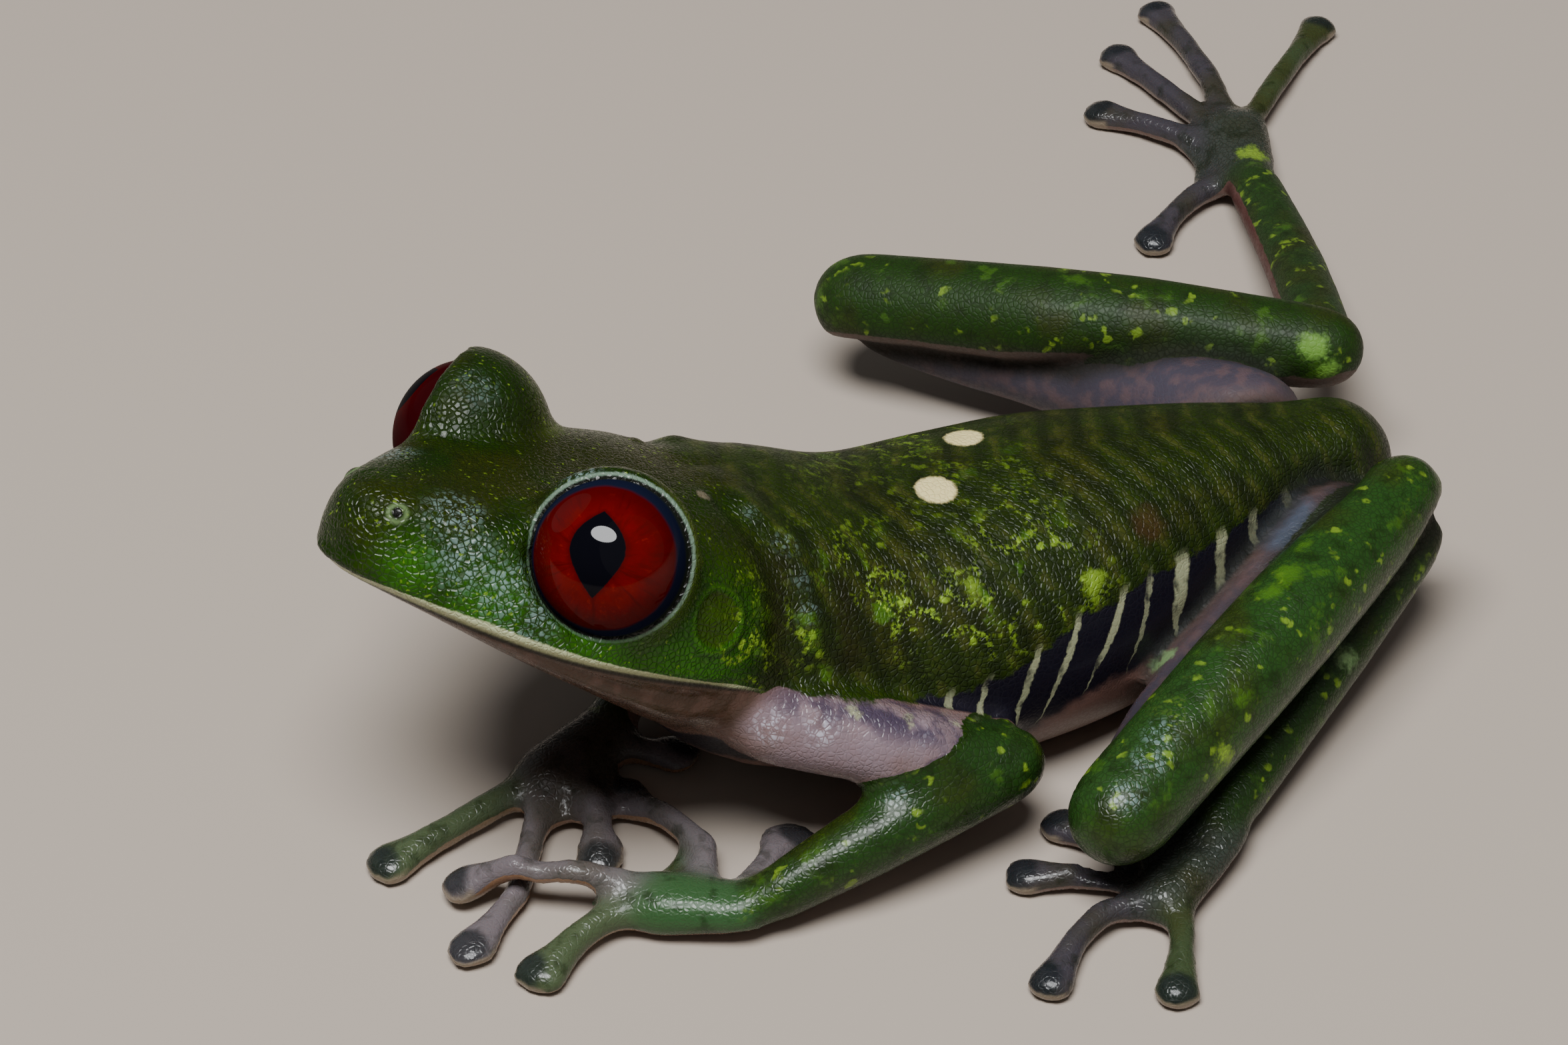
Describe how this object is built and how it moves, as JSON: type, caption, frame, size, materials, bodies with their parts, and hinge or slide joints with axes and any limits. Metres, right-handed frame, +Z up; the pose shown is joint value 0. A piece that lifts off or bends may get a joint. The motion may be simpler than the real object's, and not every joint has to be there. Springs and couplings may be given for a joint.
{
  "type": "red-eyed tree frog",
  "caption": "Small slim tree frog sitting low, head raised, bulging eyes, folded long legs, slender digits with round pads.",
  "frame": {"origin": "on the floor, under the middle of the frog's bounding box", "axes": "+Z up, the frog faces -Y, its left side is towards +X"},
  "size_m": [0.0714, 0.0758, 0.0236],
  "materials": {
    "skin": "moist satin skin, green above, indigo and cream on the flanks",
    "eye": "wet gloss, red with a black upright pupil"
  },
  "bodies": {
    "root": {"head": "skin", "trunk": "skin", "tympanum_left": "skin", "upper_arm_left": "skin", "forearm_left": "skin", "hand_left": "skin", "finger_left_1": "skin", "finger_left_2": "skin", "finger_left_3": "skin", "finger_left_4": "skin", "thigh_left": "skin", "shank_left": "skin", "tarsus_left": "skin", "foot_left": "skin", "toe_left_1": "skin", "toe_left_2": "skin", "toe_left_3": "skin", "toe_left_4": "skin", "toe_left_5": "skin", "tympanum_right": "skin", "upper_arm_right": "skin", "forearm_right": "skin", "hand_right": "skin", "finger_right_1": "skin", "finger_right_2": "skin", "finger_right_3": "skin", "finger_right_4": "skin", "thigh_right": "skin", "shank_right": "skin", "tarsus_right": "skin", "foot_right": "skin", "toe_right_1": "skin", "toe_right_2": "skin", "toe_right_3": "skin", "toe_right_4": "skin", "toe_right_5": "skin", "eye_left": "eye", "eye_right": "eye"}
  },
  "joints": []
}
